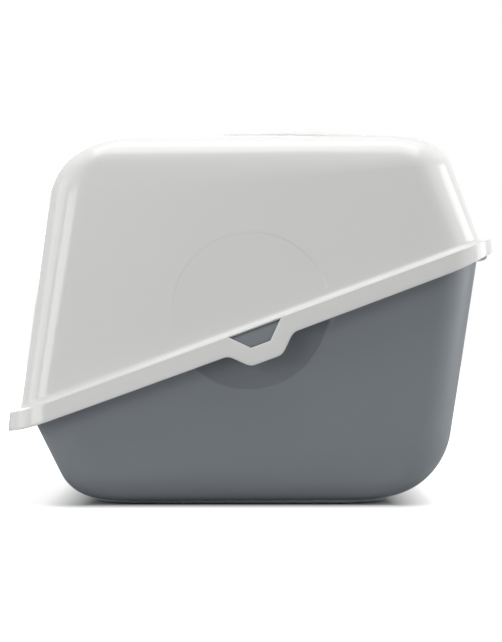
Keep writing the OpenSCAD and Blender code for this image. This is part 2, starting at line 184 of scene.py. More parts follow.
def bendRings(shell, drop, thick, steps):
    # Rings from the walls over the bend to the level plane, each on its own angle of the bend
    way = shell["way"]
    level = shell["level"] - thick * way
    front0 = shell["front"] + thick * shell["thickFront"]
    back0 = shell["back"] - thick
    side0 = shell["side"] - thick
    leans = [math.radians(a) for a in shell["leans"]]
    rounds = [r - thick for r in shell["rounds"]]
    sideRounds = [r - thick for r in shell["sideRounds"]]
    corners = [r - thick for r in shell["corners"]]
    frontZ, backZ = rimHeight(front0) - drop, rimHeight(back0) - drop
    frontTop, backTop = way * (level - frontZ), way * (level - backZ)
    k = np.linspace(0, 1, steps + 1)
    frontH = frontTop - rounds[0] + rounds[0] * np.sin(blend(leans[0], math.pi / 2, k))
    backH = backTop - rounds[1] + rounds[1] * np.sin(blend(leans[1], math.pi / 2, k))
    front = front0 + inset(frontH, frontTop, leans[0], rounds[0])
    back = back0 - inset(backH, backTop, leans[1], rounds[1])
    z0 = frontZ + way * frontH - curl(front)
    z1 = backZ + way * backH

    def sideWidth(x, z, r):
        foot = straightRim(x) - drop
        return side0 - inset(way * (z - foot), way * (level - foot), leans[2], r)

    x, y = outline(front, back, sideWidth(front, z0, sideRounds[0]), sideWidth(back, z1, sideRounds[1]),
                   corners[0], corners[1])
    share = (x - front[:, None]) / (back - front)[:, None]
    z = blend(z0[:, None], z1[:, None], share) + (curl(x) if way > 0 else 0)
    return ring(x, y, z)


def coveRings(shell, drop, thick, steps):
    # A quarter turn, hollow outward, from the level flange up into each leaning wall
    r = shell["cove"] + thick
    t = np.linspace(0, 1, steps + 1)
    out, up = [], []
    for lean in (math.radians(a) for a in shell["leans"]):
        turn = (math.pi / 2 - lean) * t
        centre = r * (1 - math.sin(lean)) / math.cos(lean)
        out.append(centre - r * np.sin(turn))
        up.append(r - r * np.cos(turn))
    front, back = shell["front"] + thick - out[0], shell["back"] - thick + out[1]
    x, y = outline(front, back, shell["side"] - thick + out[2], shell["side"] - thick + out[2],
                   shell["rimCorners"][0] - thick + out[0], shell["rimCorners"][1] - thick + out[1])
    share = (x - front[:, None]) / (back - front)[:, None]
    z = rimHeight(x) + blend(up[0][:, None], up[1][:, None], share) - drop
    return ring(x, y, z)


def between(a, b, shares):
    # Straight lines from each point of one ring to the same point of the next
    s = np.asarray(shares)[:, None, None]
    return blend(a[None], b[None], s)


def footLine(shell):
    # The line where the wall meets the rim, and the way outward from each of its points
    corners = shell["rimCorners"]
    x, y = outline(shell["front"], shell["back"], shell["side"], shell["side"], corners[0], corners[1])
    wideX, wideY = outline(shell["front"] - 1, shell["back"] + 1, shell["side"] + 1, shell["side"] + 1,
                           corners[0] + 1, corners[1] + 1)
    return x[0], y[0], (wideX - x)[0], (wideY - y)[0]


# Meshes

meshing = {
    "merge": 0.01,  # points nearer than this become one
    "sliver": 0.005,
    "smoothAngle": 32,  # degrees, an edge that bends more stays sharp
    "softMiddle": 0.3,  # the middle row of a soft edge lies at this share of it
}
soft = meshing["softMiddle"]


def makeMesh(name, points, faces):
    mesh = bpy.data.meshes.new(name)
    mesh.from_pydata((np.asarray(points) * mm).tolist(), [], [list(f) for f in faces])
    mesh.validate()
    solid = bmesh.new()
    solid.from_mesh(mesh)
    bmesh.ops.remove_doubles(solid, verts=solid.verts, dist=meshing["merge"] * mm)
    bmesh.ops.dissolve_degenerate(solid, edges=solid.edges, dist=meshing["sliver"] * mm)
    bmesh.ops.recalc_face_normals(solid, faces=solid.faces)
    solid.to_mesh(mesh)
    solid.free()
    piece = bpy.data.objects.new(name, mesh)
    bpy.context.scene.collection.objects.link(piece)
    return piece


def gridFaces(rows, count, closedRows=False):
    # Quads between each row and the next, round all columns
    index = np.arange(rows * count).reshape(rows, count)
    a = index if closedRows else index[:-1]
    b = np.roll(index, -1, 0) if closedRows else index[1:]
    return np.stack([a, np.roll(a, -1, 1), np.roll(b, -1, 1), b], -1)


def capTube(name, rows):
    # Quads between the rows, and a flat face over the first row and the last
    count = rows.shape[1]
    last = (len(rows) - 1) * count
    faces = gridFaces(len(rows), count).reshape(-1, 4).tolist()
    faces += [list(range(count)), list(range(last, last + count))]
    return makeMesh(name, rows.reshape(-1, 3), faces)


def turned(name, profile, place, segments, closed=False):
    # A profile of radius and height, turned round an upright axis at a place
    angle = np.linspace(0, 2 * math.pi, segments, endpoint=False)[None, :]
    r, z = profile[:, :1], profile[:, 1:]
    rows = ring(place[0] + r * np.cos(angle), place[1] + r * np.sin(angle), z + 0 * angle)
    if closed:
        faces = gridFaces(len(profile), segments, closedRows=True).reshape(-1, 4)
        return makeMesh(name, rows.reshape(-1, 3), faces)
    return capTube(name, rows)


def arcPoints(x, z, r, start, end, count):
    # Points of a circle between two angles in degrees
    a = np.radians(np.linspace(start, end, count))
    return np.stack([x + r * np.cos(a), z + r * np.sin(a)], -1)


def smooth(piece):
    mesh = piece.data
    mesh.polygons.foreach_set("use_smooth", np.ones(len(mesh.polygons), bool))
    mesh.set_sharp_from_angle(angle=math.radians(meshing["smoothAngle"]))
    mesh.update()


def applyModifiers(piece):
    # The piece keeps the mesh that its modifiers make, and no modifier
    graph = bpy.context.evaluated_depsgraph_get()
    made = bpy.data.meshes.new_from_object(piece.evaluated_get(graph))
    old = piece.data
    piece.modifiers.clear()
    piece.data = made
    bpy.data.meshes.remove(old)


def cut(piece, cutters):
    for cutter in cutters:
        tool = piece.modifiers.new("cut", "BOOLEAN")
        tool.operation = "DIFFERENCE"
        tool.solver = "EXACT"
        tool.object = cutter
    applyModifiers(piece)
    for cutter in cutters:
        bpy.data.objects.remove(cutter)


def join(pieces, name):
    # One object of several closed meshes
    solid = bmesh.new()
    for piece in pieces:
        solid.from_mesh(piece.data)
    mesh = bpy.data.meshes.new(name)
    solid.to_mesh(mesh)
    solid.free()
    for piece in pieces:
        bpy.data.objects.remove(piece)
    whole = bpy.data.objects.new(name, mesh)
    bpy.context.scene.collection.objects.link(whole)
    return whole


# The shallow round recess on both side walls

disc = {
    "width": 172.0, "depth": 0.8, "rise": 18.0, "bevel": 2.6, "segments": 160,
    "standOut": 1.0,  # how far the cutter stands out of the wall
    "reach": 200.0,  # past the disc's far side
    "edgeInside": 12.0, "edgeOutside": 8.0,  # where its edges lie beside its outline
    "sharpFrom": 4.0,  # degrees
    "wallsBeyond": 100.0,  # from the box's middle plane
    # Which points count as the recess's own, by distance from its outline, depth and the flange
    "markOutside": 1.0, "markFrom": 0.02, "markPast": 0.2, "markBelow": 0.5,
}


def discCutter(side, lean, middle, low, high, mirror):
    # A flat cone laid on the leaning wall, kept between two lines along the rim
    angle = np.linspace(0, 2 * math.pi, disc["segments"], endpoint=False)
    loops = []
    for depth in (disc["depth"], -disc["standOut"]):
        radius = disc["width"] / 2 - disc["bevel"] * depth / disc["depth"]
        u = disc["rise"] * math.sin(rim["slope"]) + radius * np.cos(angle)
        v = np.clip((disc["rise"] + middle) * upright + radius * np.sin(angle), low, high)
        y, z = depth * math.cos(lean) - v * math.sin(lean), depth * math.sin(lean) + v * math.cos(lean)
        x = u * upright - z * math.sin(rim["slope"])
        z = u * math.sin(rim["slope"]) + z * upright
        loops.append(ring(x, (y - side) * mirror, z + straightRim(0) - middle))
    return capTube("discCutter", np.stack(loops))


def keepDiscEdges(piece, low, high):
    # The disc's slight slants meet the flat wall at less than the smoothing angle, so its edges
    # between two heights above the rim are marked sharp here
    nearest, farthest = disc["width"] / 2 - disc["edgeInside"], disc["width"] / 2 + disc["edgeOutside"]
    solid = bmesh.new()
    solid.from_mesh(piece.data)
    for edge in solid.edges:
        x, y, z = (edge.verts[0].co + edge.verts[1].co) / 2 / mm
        onRing = nearest < math.hypot(x, z - straightRim(0) - disc["rise"]) < farthest
        if onRing and low < z - straightRim(x) < high and abs(y) > disc["wallsBeyond"]:
            if len(edge.link_faces) == 2 and edge.calc_face_angle() > math.radians(disc["sharpFrom"]):
                edge.smooth = False
    solid.to_mesh(piece.data)
    solid.free()


# Hood

hood = {
    "front": rim["front"], "back": rim["back"], "side": rim["side"],
    "way": 1, "thickFront": 1.0,
    "level": 400.5,
    "wall": hoodWall,
    "leans": [6.9, 19.0, 4.5],
    "rounds": [77.0, 48.0],
    "sideRounds": [38.0, 38.0],
    "corners": [40.0, 47.0],
    "rimCorners": [rim["frontCorner"], rim["backCorner"]],
    "cove": 10.0,
    "edge": rim["edge"],
    "backRise": 5.0,
    "footEdge": 0.7,
    "rowGaps": [0.02, 0.05],  # keeps rows apart where a bevel has no height
    "discFrom": 0.6,  # above the cove
    "discEdgesFrom": 8.0,  # above the rim
    "edgeSteps": 5, "bendSteps": 22, "coveSteps": 9, "skirtSteps": 7, "roofSteps": 7,
    "wallShares": [0.012, 0.2, 0.4, 0.6, 0.8, 0.988],
}

wayIn = {"x": 38.0, "bore": 200.0, "width": 224.0, "rise": 8.0, "sleeve": 14.0, "sleeveWall": 2.0,
         "fit": 0.3, "rollFoot": 0.6, "sleeveEdge": 0.7, "segments": 160, "rollSteps": 26, "clipSteps": 9,
         "edgeSteps": 5}


def loopDepth(u, skirt):
    # The skirt's foot, let down round the window with slanted flanks and soft corners:
    # a soft minimum of the flank and the loop's foot, then a soft maximum with the skirt
    foot = loop["bandFoot"]
    flank = foot - (np.abs(u) - loop["bandHalf"]) / loop["slant"]
    k = loop["corner"]
    near = np.clip(0.5 + (flank - foot) / (2 * k), 0, 1)
    low = blend(flank, foot, near) - k * near * (1 - near)
    near = np.clip(0.5 + (low - skirt) / (2 * k), 0, 1)
    return blend(skirt, low, near) + k * near * (1 - near)


def windowFoot(u):
    # The window's lower edge: level in the middle, slanted up to its top at both ends
    slant = (loop["top"] - loop["foot"]) / 2 / loop["height"]
    return loop["drop"] + np.clip((loop["top"] / 2 - np.abs(u)) / slant, 0, loop["height"])


def skirtRows():
    # The flange's land, its round edge, and the skirt that hangs square to the rim, outside first
    # and then inside. Each row has a depth below the rim and a distance in from the outer face.
    x0, y0, nx, ny = footLine(hood)
    u = np.where(np.abs(ny) > loop["sideWay"], (x0 - loop["x"]) / upright, loop["farAway"])
    square = 1 - smoothStep(np.abs(u), loop["squareTo"], loop["uprightFrom"])
    inWindow = np.where(np.abs(u) <= loop["top"] / 2 + loop["slack"], 1.0, 0.0)
    bevel = loop["edge"] * inWindow * smoothStep(loop["top"] / 2 - np.abs(u), 0, loop["edgeFade"])
    share = np.clip((x0 - (hood["back"] - rim["backCorner"])) / rim["backCorner"], 0, 1)
    skirt = rim["skirt"] - rim["skirtEnds"] * endShare(x0)
    foot = loopDepth(u, skirt) - hood["backRise"] * upright * share ** 2
    wall, lip, edge = hood["wall"], hood["footEdge"], hood["edge"]
    near, far = hood["rowGaps"]
    # In the window the flange's round edge stops short, and a bevel runs in to the underside
    stop = blend(math.pi / 2, math.acos(1 - loop["drop"] / edge), inWindow)
    sill = np.where(inWindow > 0, windowFoot(u), edge + near)
    innerSill = np.maximum(sill, wall)
    rows = []

    def row(depth, inward):
        out = rim["flange"] + rim["flare"] * depth / rim["skirt"] - inward
        x = x0 + nx * out + depth * math.sin(rim["slope"]) * square
        y = y0 + ny * out
        rows.append(ring(x, y, rimHeight(x) - depth / upright))

    for t in np.linspace(0, 1, hood["edgeSteps"] + 1):
        row(edge * (1 - np.cos(stop * t)), edge * (1 - np.sin(stop * t)))
    top = len(rows) - 1
    row(sill, bevel)
    row(sill + bevel * soft + near, bevel * soft)
    for t in np.linspace(0, 1, hood["skirtSteps"]):
        row(blend(sill + bevel + far, foot - lip, t), 0)
    row(foot - lip * soft, lip * soft)
    row(foot, lip)
    row(foot, wall - lip)
    row(foot - lip * soft, wall - lip * soft)
    for t in np.linspace(1, 0, hood["skirtSteps"]):
        row(blend(innerSill + bevel + far, foot - lip, t), wall)
    row(innerSill + bevel * soft + near, wall - bevel * soft)
    row(innerSill, wall - bevel)
    inner = len(rows) - 1
    row(wall, wall)
    return np.stack(rows), top, inner, inWindow


def roofRows(outer, z, steps):
    # Straight lines across the level roof from its round-cornered outline to the way in
    radius = wayIn["bore"] / 2 + wayIn["sleeveWall"] + wayIn["fit"]
    angle = np.arctan2(outer[:, 1], outer[:, 0] - wayIn["x"])
    hole = ring(wayIn["x"] + radius * np.cos(angle), radius * np.sin(angle), 0 * angle + z)
    return between(hole, outer, np.linspace(0, 1, steps + 1)[:-1])


def makeHood():
    wall = hood["wall"]
    drop = wall / upright
    outerBend = bendRings(hood, 0, 0, hood["bendSteps"])[::-1]
    outerCove = coveRings(hood, 0, 0, hood["coveSteps"])[::-1]
    innerBend = bendRings(hood, drop, wall, hood["bendSteps"])
    innerCove = coveRings(hood, drop, wall, hood["coveSteps"])
    skirt, top, inner, inWindow = skirtRows()
    parts = [roofRows(outerBend[0], hood["level"], hood["roofSteps"]), outerBend,
             between(outerBend[-1], outerCove[0], hood["wallShares"]), outerCove, skirt,
             innerCove, between(innerCove[-1], innerBend[0], hood["wallShares"]), innerBend,
             roofRows(innerBend[-1], hood["level"] - wall, hood["roofSteps"])[::-1]]
    start = sum(len(p) for p in parts[:4])
    top, inner = top + start, inner + start
    rows = np.concatenate(parts)
    count = rows.shape[1]
    quads = gridFaces(len(rows), count, closedRows=True)
    gap = (inWindow * np.roll(inWindow, -1)) > 0
    # The windows: the two walls' quads give way to strips from one wall to the other
    keep = np.ones(quads.shape[:2], bool)
    keep[top, gap] = False
    keep[inner, gap] = False
    index = np.arange(len(rows) * count).reshape(len(rows), count)
    faces = [quads[keep]]
    for a, b in ((top, inner + 1), (inner, top + 1)):
        strip = np.stack([index[a], np.roll(index[a], -1), np.roll(index[b], -1), index[b]], -1)
        faces.append(strip[gap])
    shell = makeMesh("hoodShell", rows.reshape(-1, 3), np.concatenate(faces).tolist())
    lean = -math.radians(hood["leans"][2])
    foot = hood["cove"] + hood["discFrom"]
    cut(shell, [discCutter(hood["side"], lean, 0, foot, disc["reach"], side) for side in sides])
    whole = join([shell] + [hookMesh(side) for side in sides], "hoodShell")
    smooth(whole)
    keepDiscEdges(whole, hood["discEdgesFrom"], disc["reach"])
    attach(whole, "hood")
    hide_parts("hood")
    print("hood made:", len(whole.data.polygons), "faces")
    return whole


# Hinge

hinge = {
    "bar": 2.5, "gap": 0.3, "hookWall": 2.4, "hookWidth": 40.0, "y": 95.0, "endGap": 2.0, "lipGap": 0.6,
    "depth": 12.5,
    "hookEnd": -135.0,  # where the C ends, in degrees
    "hookEdge": 0.5, "barEdge": 0.3, "endScale": 0.985,
    "hookSteps": 28, "barSteps": 48,
    "slotRoom": 1.0, "slotTop": 0.5,
}
hinge["x"] = rim["back"] + rim["flange"] - hoodWall - hinge["lipGap"] - hinge["bar"]
hinge["z"] = straightRim(hinge["x"]) - (hoodWall + hinge["depth"]) / upright


def prism(name, profile, low, high, edge):
    # An outline in the plane of the box's side, carried across from one Y to another
    x, z = profile[:, 0], profile[:, 1]
    mid = profile.mean(0)
    small = mid + (profile - mid) * hinge["endScale"]
    rows = [ring(small[:, 0], 0 * x + low, small[:, 1]), ring(x, 0 * x + low + edge, z),
            ring(x, 0 * x + high - edge, z), ring(small[:, 0], 0 * x + high, small[:, 1])]
    return capTube(name, np.stack(rows))


def hookMesh(side):
    # A C round the hinge bar: an outer arc under it, back along an inner arc, and a stem up
    bore = hinge["bar"] + hinge["gap"]
    outer = bore + hinge["hookWall"]
    stem = rim["skirt"] / 2
    end, steps = hinge["hookEnd"], hinge["hookSteps"]
    profile = np.concatenate([
        [[hinge["x"] + bore, hinge["z"] + stem], [hinge["x"] + outer, hinge["z"] + stem]],
        arcPoints(hinge["x"], hinge["z"], outer, 0, end, steps),
        arcPoints(hinge["x"], hinge["z"], bore, end, 0, steps)])
    y, half = hinge["y"] * side, hinge["hookWidth"] / 2
    return prism("hook", profile, y - half, y + half, hinge["hookEdge"])


# Collar round the way in

def makeCollar():
    bore = wayIn["bore"] / 2
    roll = (wayIn["width"] - wayIn["bore"]) / 4
    top, roof = hood["level"] + wayIn["rise"] - roll, hood["level"]
    sleeve = bore + wayIn["sleeveWall"]
    foot = roof - wayIn["sleeve"]
    clip = hoodWall / 2
    under = roof - hoodWall - wayIn["fit"] - clip
    rollFoot, edge, steps = wayIn["rollFoot"], wayIn["sleeveEdge"], wayIn["edgeSteps"]
    profile = np.concatenate([
        arcPoints(bore + roll, top, roll, 180, 0, wayIn["rollSteps"]),
        arcPoints(bore + 2 * roll - rollFoot, roof + rollFoot, rollFoot, 0, -90, steps),
        [[sleeve, roof]],
        arcPoints(sleeve, under, clip, 90, -90, wayIn["clipSteps"]),
        arcPoints(sleeve - edge, foot + edge, edge, 0, -90, steps),
        arcPoints(bore + edge, foot + edge, edge, -90, -180, steps)])
    collar = turned("collarRing", profile, (wayIn["x"], 0), wayIn["segments"], closed=True)
    smooth(collar)
    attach(collar, "hood")
    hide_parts("entry_collar")
    print("collar made")
    return collar


# Tray

tray = {
    "way": -1,
    "level": 4.2,
    "wall": 2.4,
    "leans": [25.4, 8.25, 5.0],
    "rounds": [52.5, 85.0],
    "sideRounds": [28.0, 28.0],
    "corners": [40.0, 40.0],
    "rimCorners": [34.0, 44.0],
    "inset": 5.0,  # from the hood's wall, at the sides and the back
    "frontInset": 9.0,
    "lipDepth": 14.4,
    "lipFlare": 1.2,
    "lipEdge": 0.5,
    "fingerRoom": 5.0,
    "cutterRoom": 1.0,
    "edge": rim["edge"],
    "landEdge": 1.2, "landBulge": 0.35,  # where the inner wall turns over onto the flange
    "discEdgesBelow": 5.0,
    "bendSteps": 18, "edgeSteps": 5,
    "wallShares": [0.008, 0.2, 0.4, 0.6, 0.8, 0.992],
    "floorShares": [0.02, 0.3, 0.6, 0.9],
    "lipShares": [0.05, 0.35, 0.65, 0.95],
    "lipInnerShares": [0.95, 0.5, 0.05],
}
tray["front"] = rim["front"] + tray["frontInset"]
tray["side"] = rim["side"] - tray["inset"]
tray["thickFront"] = 1 / math.cos(math.radians(tray["leans"][0]))
swept = hinge["depth"] - rim["gap"]
tray["flangeBack"] = (hinge["x"] - swept * math.sin(rim["slope"])
                      + (math.sqrt(hinge["depth"] ** 2 - swept ** 2) - rim["gap"]) * upright)
tray["back"] = tray["flangeBack"] - tray["inset"]
tray["lipFront"] = rim["front"] - rim["flange"] + hoodWall + hinge["lipGap"]
tray["lipSide"] = rim["side"] + rim["flange"] - hoodWall - hinge["lipGap"]


def rimRing(front, back, side, frontR, backR, down):
    x, y = outline(front, back, side, side, frontR, backR)
    return ring(x, y, rimHeight(x) - down)[0]


def lipRing(out, inward, down):
    return rimRing(tray["lipFront"] - out + inward,
                   blend(tray["flangeBack"], hinge["x"], out / tray["lipFlare"]) - inward,
                   tray["lipSide"] + out - inward - tray["lipFlare"],
                   tray["rimCorners"][0] + rim["flange"] - hoodWall - inward,
                   tray["rimCorners"][1] + tray["inset"] - inward, down)


def makeTray():
    wall, edge, lipEdge, landEdge = tray["wall"], tray["edge"], tray["lipEdge"], tray["landEdge"]
    flare = tray["lipFlare"]
    drop = (hoodWall + rim["gap"]) / upright
    under = drop + wall / upright
    lipFoot = drop + tray["lipDepth"]
    outer = bendRings(tray, under, 0, tray["bendSteps"])
    inner = bendRings(tray, drop, wall, tray["bendSteps"])

    def wallTop(inward, front, down):
        frontR, backR = (r - inward for r in tray["rimCorners"])
        return rimRing(front, tray["back"] - inward, tray["side"] - inward, frontR, backR, down)

    innerFront = tray["front"] + tray["thickFront"] * wall
    innerTop = wallTop(wall, innerFront, drop + landEdge)
    innerLand = wallTop(wall - landEdge, innerFront - landEdge, drop)
    outerTop = wallTop(0, tray["front"], under)
    lip = [innerTop, blend(innerTop, innerLand, soft) + [0, 0, tray["landBulge"]], innerLand]
    for angle in np.linspace(0, math.pi / 2, tray["edgeSteps"] + 1):
        lip.append(lipRing(0, edge * (1 - math.sin(angle)), drop + edge * (1 - math.cos(angle))))
    head, foot = lipRing(0, 0, drop + edge), lipRing(flare, 0, lipFoot - lipEdge)
    lip += [blend(head, foot, t) for t in tray["lipShares"]]
    lip += [lipRing(flare, lipEdge * soft, lipFoot - lipEdge * soft), lipRing(flare, lipEdge, lipFoot),
            lipRing(flare, wall - lipEdge, lipFoot),
            lipRing(flare, wall - lipEdge * soft, lipFoot - lipEdge * soft)]
    head, foot = lipRing(0, wall, under), lipRing(flare, wall, lipFoot - lipEdge)
    lip += [blend(head, foot, t) for t in tray["lipInnerShares"]] + [head, outerTop]
    centreIn = np.array([0.0, 0.0, tray["level"] + wall]) + 0 * inner[-1]
    centreOut = np.array([0.0, 0.0, tray["level"]]) + 0 * outer[-1]
    rows = np.concatenate([
        between(inner[-1], centreIn, tray["floorShares"])[::-1], inner[::-1],
        between(inner[0], innerTop, tray["wallShares"]), np.stack(lip),
        between(outerTop, outer[0], tray["wallShares"]), outer,
        between(outer[-1], centreOut, tray["floorShares"])])
    shell = capTube("trayShell", rows)
    lean = math.radians(tray["leans"][2])
    stop = -tray["lipDepth"] / 2
    cutters = [discCutter(tray["side"], lean, under, -disc["reach"], stop, side) for side in sides]
    cutters += [slotCutter(side) for side in sides] + [gapCutter(side) for side in sides]
    cut(shell, cutters)
    whole = join([shell] + [barMesh(side) for side in sides] + footMeshes(), "trayShell")
    smooth(whole)
    keepDiscEdges(whole, -disc["reach"], -tray["discEdgesBelow"])
    markDisc(whole, under)
    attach(whole, "tray")
    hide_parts("base_tray")
    print("tray made:", len(whole.data.polygons), "faces")
    return whole


def markDisc(piece, under):
    # One on the recess's floor, and down to nothing across its slanted edge
    count = len(piece.data.vertices)
    points = np.empty(count * 3)
    piece.data.vertices.foreach_get("co", points)
    x, y, z = (points.reshape(-1, 3) / mm).T
    lean = math.radians(tray["leans"][2])
    away = np.hypot(x, z - straightRim(0) - disc["rise"])
    h = straightRim(x) - under - z
    deep = (tray["side"] - h * math.tan(lean) - np.abs(y)) * math.cos(lean)
    inside = (away < disc["width"] / 2 + disc["markOutside"]) & (h > disc["markBelow"])
    inside &= (deep > disc["markFrom"]) & (deep < disc["depth"] + disc["markPast"])
    mark = piece.data.attributes.new("disc", "FLOAT", "POINT")
    mark.data.foreach_set("value", np.where(inside, np.clip(deep / disc["depth"], 0, 1), 0.0))
    print("disc points:", int(inside.sum()))


def onAxis(u, v):
    # From distances along the rim and square to it, counted from the hinge axis
    c, s = upright, math.sin(rim["slope"])
    return np.stack([hinge["x"] + u * c - v * s, hinge["z"] + u * s + v * c], -1)


def slotCutter(side):
    # Takes the lip away round a hook
    reach = hinge["bar"] + hinge["gap"] + hinge["hookWall"] + hinge["slotRoom"]
    top = hinge["depth"] - rim["gap"] - tray["wall"] - hinge["slotTop"]
    x, z = onAxis(np.array([-reach, reach, reach, -reach]), np.array([-reach, -reach, top, top])).T
    half = hinge["hookWidth"] / 2 + hinge["endGap"]
    y = hinge["y"] * side
    return capTube("slotCutter", np.stack([ring(x, 0 * x + y - half, z), ring(x, 0 * x + y + half, z)]))


def gapCutter(side):
    # Takes the lip away behind a finger window
    half = loop["top"] / 2 + tray["fingerRoom"]
    top = hoodWall + rim["gap"] + tray["wall"]
    foot = top + tray["lipDepth"]
    u = np.array([-half, half, half, -half])
    v = -np.array([foot, foot, top, top])
    x = loop["x"] + u * upright - v * math.sin(rim["slope"])
    z = straightRim(loop["x"]) + u * math.sin(rim["slope"]) + v * upright - rim["bow"]
    outer = side * (tray["lipSide"] + tray["cutterRoom"])
    inner = side * (tray["lipSide"] - tray["lipFlare"] - tray["wall"] - tray["cutterRoom"])
    return capTube("gapCutter", np.stack([ring(x, 0 * x + inner, z), ring(x, 0 * x + outer, z)]))


def barMesh(side):
    half = hinge["hookWidth"] / 2 + hinge["endGap"] + 2 * hinge["bar"]
    steps = hinge["barSteps"]
    circle = arcPoints(hinge["x"], hinge["z"], hinge["bar"], 0, 360 - 360 / steps, steps)
    y = hinge["y"] * side
    return prism("bar", circle, y - half, y + half, hinge["barEdge"])


# Foot ring, bosses and pads

stand = {
    "ringReach": [13.5, 15.5], "ringInset": 3.0, "ringCorner": 50.0, "ringWall": 3.0,
    "ringEdge": 0.5,
    "ringSink": 0.8,  # how far the ring runs up into the bottom, as a share of the tray's wall
    "socketGap": 0.3, "socketEdge": 0.3, "core": 0.5,
    "padWidth": 22.0, "padHeight": 3.0, "padStand": 1.6, "padInset": 34.0,
    "padEdge": 0.6, "padTopEdge": 0.2, "padCore": 0.4,
    "padHollow": 0.35, "hollowShares": [0.55, 0.62],  # a shallow hollow under each pad
    "segments": 72,
}


def fullInset(rimZ, lean, r):
    # How far the tray's wall has moved in where it has bent to the level bottom
    h = rimZ - (hoodWall + rim["gap"] + tray["wall"]) / upright - tray["level"]
    return float(inset(h, h, math.radians(lean), r))


flatFront = tray["front"] + fullInset(rimHeight(tray["front"]), tray["leans"][0], tray["rounds"][0])
flatBack = tray["back"] - fullInset(rimHeight(tray["back"]), tray["leans"][1], tray["rounds"][1])
flatSide = tray["side"] - fullInset(straightRim(flatFront), tray["leans"][2], tray["sideRounds"][0])
stand["front"] = flatFront - stand["ringReach"][0]
stand["back"] = flatBack + stand["ringReach"][1]
stand["side"] = flatSide - stand["ringInset"]


def padPlaces():
    front, back = stand["front"] + stand["padInset"], stand["back"] - stand["padInset"]
    side = stand["side"] - stand["padInset"]
    return {"foot_front_left": (front, -side), "foot_front_right": (front, side),
            "foot_rear_left": (back, -side), "foot_rear_right": (back, side)}


def footMeshes():
    # The ring's rows go down its outside, round its foot and up its inside
    low, high = stand["padStand"], tray["level"] + stand["ringSink"] * tray["wall"]
    wall, edge = stand["ringWall"], stand["ringEdge"]
    rows = []
    for inward, z in ((0, high), (0, low + edge), (edge * soft, low + edge * soft), (edge, low),
                      (wall - edge, low), (wall - edge * soft, low + edge * soft), (wall, low + edge),
                      (wall, high)):
        corner = stand["ringCorner"] - inward
        x, y = outline(stand["front"] + inward, stand["back"] - inward, stand["side"] - inward,
                       stand["side"] - inward, corner, corner)
        rows.append(ring(x[0], y[0], 0 * x[0] + z))
    rows = np.stack(rows)
    faces = gridFaces(len(rows), rows.shape[1], closedRows=True).reshape(-1, 4)
    made = [makeMesh("footRing", rows.reshape(-1, 3), faces)]
    # Each boss goes down its outside, round its foot and up into the pad's socket
    socket, roof, core = stand["padWidth"] / 2 + stand["socketGap"], stand["padHeight"], stand["core"]
    boss, bevel = socket + wall, stand["socketEdge"]
    profile = np.array([[core, high], [boss, high], [boss, low + edge],
                        [boss - edge * soft, low + edge * soft], [boss - edge, low],
                        [socket + bevel, low], [socket, low + bevel], [socket, roof],
                        [socket / 2, roof], [core, roof]])
    return made + [turned("boss", profile, place, stand["segments"]) for place in padPlaces().values()]


def makePads():
    r, h, edge, core = stand["padWidth"] / 2, stand["padHeight"], stand["padEdge"], stand["padCore"]
    hollow, bevel = stand["padHollow"], stand["padTopEdge"]
    near, far = (r * share for share in stand["hollowShares"])
    profile = np.concatenate([[[core, hollow], [near, hollow], [far, 0.0]],
                              arcPoints(r - edge, edge, edge, -90, 0, 6),
                              [[r, h - bevel], [r - bevel, h], [core, h]]])
    pads = []
    for node, place in padPlaces().items():
        pad = turned(node.replace("foot_", "pad_"), profile, place, stand["segments"])
        smooth(pad)
        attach(pad, "tray")
        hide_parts(node)
        pads.append(pad)
    print("pads made")
    return pads


# Materials

moulding = {"cloudSize": 5.0, "cloudDetail": 3, "patchSize": 22.0, "patchDetail": 4, "grainDetail": 2}


def addNode(tree, kind, inputs, operation=None):
    # A node whose inputs are given by name or place, each as a value or as another node's output
    node = tree.nodes.new("ShaderNode" + kind)
    if operation:
        node.operation = operation
    for key, value in inputs.items():
        if isinstance(value, bpy.types.NodeSocket):
            tree.links.new(value, node.inputs[key])
        else:
            node.inputs[key].default_value = value
    return node


def mouldedGroup():
    # Moulded plastic: cloudy tone and shine, and a fine grain
    group = bpy.data.node_groups.new("mouldedPlastic", "ShaderNodeTree")
    for name, kind, value in (("Colour", "NodeSocketColor", (0.8, 0.8, 0.8, 1)),
                              ("Tone", "NodeSocketFloat", 0.02), ("Shine", "NodeSocketFloat", 0.3),
                              ("Cloud", "NodeSocketFloat", 0.05), ("Grain size", "NodeSocketFloat", 900.0),
                              ("Grain depth", "NodeSocketFloat", 1.0)):
        group.interface.new_socket(name, in_out="INPUT", socket_type=kind).default_value = value
    for name, kind in (("Colour", "NodeSocketColor"), ("Roughness", "NodeSocketFloat"),
                       ("Height", "NodeSocketFloat")):
        group.interface.new_socket(name, in_out="OUTPUT", socket_type=kind)
    given = group.nodes.new("NodeGroupInput").outputs
    made = group.nodes.new("NodeGroupOutput").inputs
    coords = group.nodes.new("ShaderNodeTexCoord").outputs["Object"]

    def noise(size, detail):
        return addNode(group, "TexNoise", {"Vector": coords, "Scale": size, "Detail": detail}).outputs["Fac"]

    def maths(operation, *values):
        return addNode(group, "Math", dict(enumerate(values)), operation).outputs[0]

    cloud = maths("SUBTRACT", noise(moulding["cloudSize"], moulding["cloudDetail"]), 0.5)
    patch = maths("SUBTRACT", noise(moulding["patchSize"], moulding["patchDetail"]), 0.5)
    bright = maths("MULTIPLY_ADD", cloud, given["Tone"], 1.0)
    colour = addNode(group, "VectorMath", {0: given["Colour"], "Scale": bright}, "SCALE").outputs[0]
    grain = noise(given["Grain size"], moulding["grainDetail"])
    group.links.new(colour, made["Colour"])
    group.links.new(maths("MULTIPLY_ADD", patch, given["Cloud"], given["Shine"]), made["Roughness"])
    group.links.new(maths("MULTIPLY", grain, given["Grain depth"]), made["Height"])
    return group


plastic = mouldedGroup()


